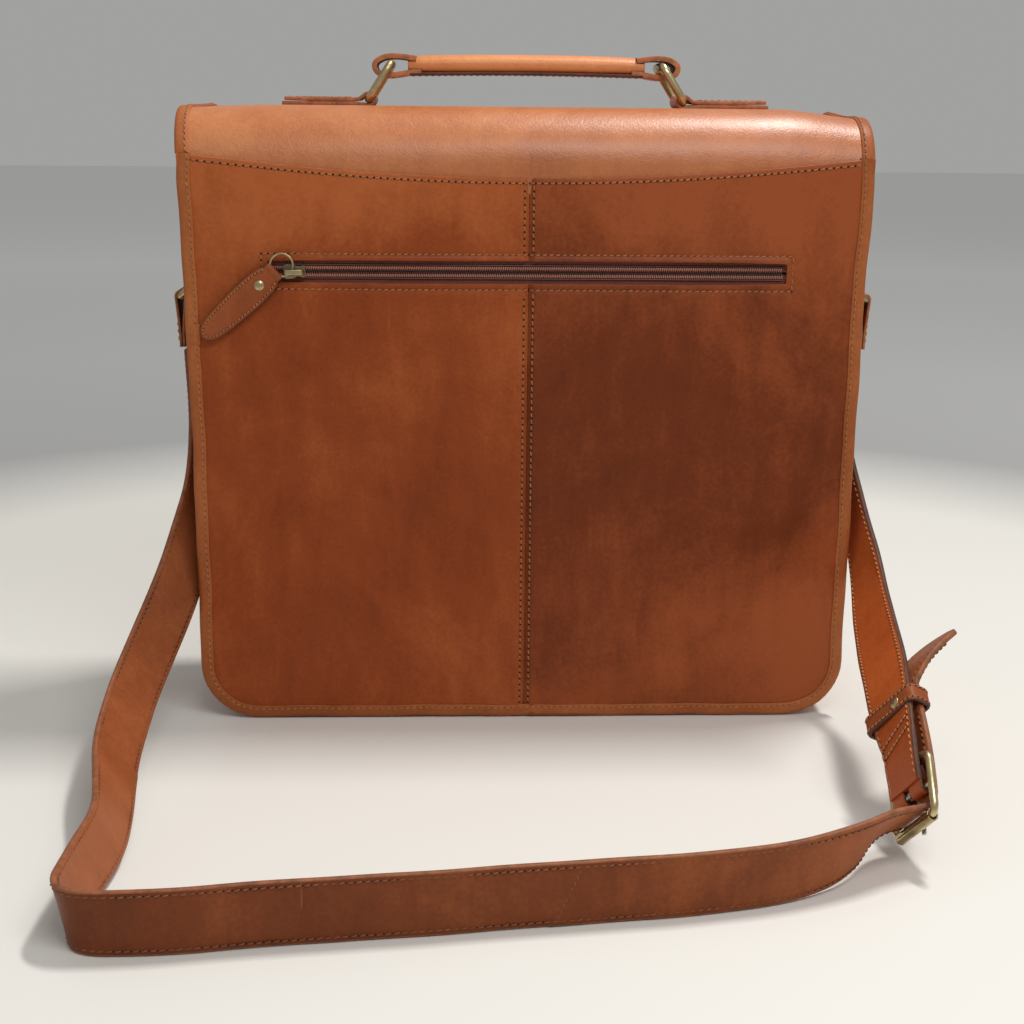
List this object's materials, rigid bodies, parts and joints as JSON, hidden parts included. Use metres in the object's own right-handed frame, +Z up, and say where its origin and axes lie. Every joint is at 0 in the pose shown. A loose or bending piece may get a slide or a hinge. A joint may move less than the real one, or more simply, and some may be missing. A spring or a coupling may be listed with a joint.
{
  "type": "satchel bag",
  "caption": "Leather satchel with a wrap-over flap, carry handle on brass rings, zip pocket in the back panel and a long buckled shoulder strap.",
  "frame": {"origin": "centre of the bag's footprint, on the surface that its bottom binding rests on", "axes": "+X along the bag's width, -Y out of the back panel with the zip, +Y out of the flap's front, +Z up"},
  "size_m": [0.4768, 0.415, 0.4008],
  "materials": {
    "leather_body": "oiled, slightly glossy",
    "leather_edge": "oiled, folded",
    "leather_strap": "oiled, scuffed",
    "lining": "woven cotton",
    "stiffener": "fibre board, matt",
    "padding": "padded cloth",
    "zip_cloth": "woven tape",
    "zip_coil": "nylon coil",
    "brass": "antique brass",
    "steel": "plated",
    "filler": "twisted paper cord"
  },
  "bodies": {
    "body": {"back_panel_left": "leather_body", "back_panel_right": "leather_body", "back_binding": "leather_edge", "gusset_left": "leather_body", "gusset_right": "leather_body", "gusset_bottom": "leather_body", "front_panel": "leather_body", "front_binding": "leather_edge", "front_pocket_panel": "leather_body", "front_pocket_gusset": "leather_body", "lining": "lining", "base_board": "stiffener", "laptop_divider": "padding", "flap_root": "leather_body", "flap_root_binding": "leather_edge", "zip_coil_upper": "zip_coil", "zip_coil_lower": "zip_coil", "zip_tape_upper": "zip_cloth", "zip_tape_lower": "zip_cloth", "zip_pocket_bag": "lining", "side_chape_left": "leather_strap", "side_chape_right": "leather_strap", "strap_long": "leather_strap", "strap_short": "leather_strap", "strap_buckle": "brass", "strap_prong": "brass", "strap_keeper": "leather_strap", "strap_rivet": "steel", "snap_sockets": "steel"},
    "flap_top": {"flap_top_panel": "leather_body", "flap_top_lining": "lining", "flap_top_binding": "leather_edge", "handle_tab_left": "leather_edge", "handle_tab_right": "leather_edge"},
    "flap_front": {"flap_front_panel": "leather_body", "flap_front_lining": "lining", "flap_front_binding": "leather_edge", "closure_strap_left": "leather_strap", "closure_strap_right": "leather_strap", "closure_buckle_left": "brass", "closure_buckle_right": "brass", "closure_prongs": "brass", "snap_caps": "steel"},
    "handle": {"handle_grip": "leather_body", "handle_core": "filler", "handle_loop_left": "leather_body", "handle_loop_right": "leather_body"},
    "handle_ring_left": {"handle_ring_left": "brass"},
    "side_ring_left": {"side_ring_left": "brass", "strap_end_left": "leather_strap"},
    "handle_ring_right": {"handle_ring_right": "brass"},
    "side_ring_right": {"side_ring_right": "brass", "strap_end_right": "leather_strap"},
    "zip_slider": {"zip_slider": "brass"},
    "zip_pull_ring": {"zip_pull_ring": "brass"},
    "zip_pull_tab": {"zip_pull_tab": "leather_body", "zip_pull_rivet": "steel"},
    "strap_roller": {"strap_roller": "brass"}
  },
  "joints": [
    {"name": "flap_top_hinge", "type": "hinge", "parent": "body", "child": "flap_top", "pos_m": [0, -0.0393, 0.37056], "axis": [1, 0, 0], "range_deg": [0, 120]},
    {"name": "flap_front_hinge", "type": "hinge", "parent": "flap_top", "child": "flap_front", "pos_m": [0, 0.05713, 0.3626], "axis": [1, 0, 0], "range_deg": [0, 100]},
    {"name": "handle_drop", "type": "slide", "parent": "flap_top", "child": "handle", "axis": [0, 0, 1], "range_m": [-0.0066, 0]},
    {"name": "handle_ring_left_hinge", "type": "hinge", "parent": "flap_top", "child": "handle_ring_left", "pos_m": [-0.0945, 0.005, 0.37465], "axis": [0, 1, 0], "range_deg": [-0.5, 22.6]},
    {"name": "handle_ring_right_hinge", "type": "hinge", "parent": "flap_top", "child": "handle_ring_right", "pos_m": [0.0945, 0.005, 0.37465], "axis": [0, -1, 0], "range_deg": [-0.5, 22.6]},
    {"name": "zip_slide", "type": "slide", "parent": "body", "child": "zip_slider", "axis": [1, 0, 0], "range_m": [0, 0.273]},
    {"name": "zip_ring_hinge", "type": "hinge", "parent": "zip_slider", "child": "zip_pull_ring", "pos_m": [-0.1365, -0.0618, 0.277], "axis": [1, 0, 0], "range_deg": [-14, 0]},
    {"name": "zip_tab_hinge", "type": "hinge", "parent": "zip_pull_ring", "child": "zip_pull_tab", "pos_m": [-0.14841, -0.0618, 0.27658], "axis": [-0.6691, 0, 0.7431], "range_deg": [0, 90]},
    {"name": "side_ring_left_hinge", "type": "hinge", "parent": "body", "child": "side_ring_left", "pos_m": [-0.19765, -0.012, 0.268], "axis": [0, 1, 0], "range_deg": [-10, 15]},
    {"name": "side_ring_right_hinge", "type": "hinge", "parent": "body", "child": "side_ring_right", "pos_m": [0.19765, -0.012, 0.268], "axis": [0, -1, 0], "range_deg": [-10, 15]},
    {"name": "strap_roller_spin", "type": "hinge", "parent": "body", "child": "strap_roller", "pos_m": [0.1885, -0.265, 0.021], "axis": [0.2151, -0.6784, 0.7025], "continuous": true}
  ],
  "couplings": [
    {"joint": "handle_ring_left_hinge", "follows": "handle_drop", "rad_per_m": -58.9},
    {"joint": "handle_ring_right_hinge", "follows": "handle_drop", "rad_per_m": -58.9}
  ]
}
